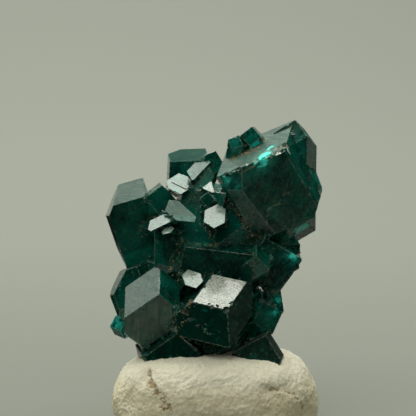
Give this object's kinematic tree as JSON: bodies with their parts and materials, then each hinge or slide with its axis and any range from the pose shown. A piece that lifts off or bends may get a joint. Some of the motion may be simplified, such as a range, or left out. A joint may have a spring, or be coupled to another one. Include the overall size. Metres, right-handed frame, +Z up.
{
  "type": "dioptase specimen",
  "caption": "Cluster of intergrown emerald-green dioptase crystals with rhomb-shaped caps, standing in a flat-bottomed lump of white mineral putty.",
  "frame": {"origin": "on the putty's flat underside, under the middle of the specimen", "axes": "+Z up, +X to the right and +Y away from the viewer who faces the specimen's display side"},
  "size_m": [0.0277, 0.0252, 0.0389],
  "materials": {
    "dioptase": "deep green translucent crystal with bright flat faces",
    "putty": "matt cream-white putty with finger marks"
  },
  "bodies": {
    "root": {"dioptase_crystals": "dioptase", "mounting_putty": "putty"}
  },
  "joints": []
}
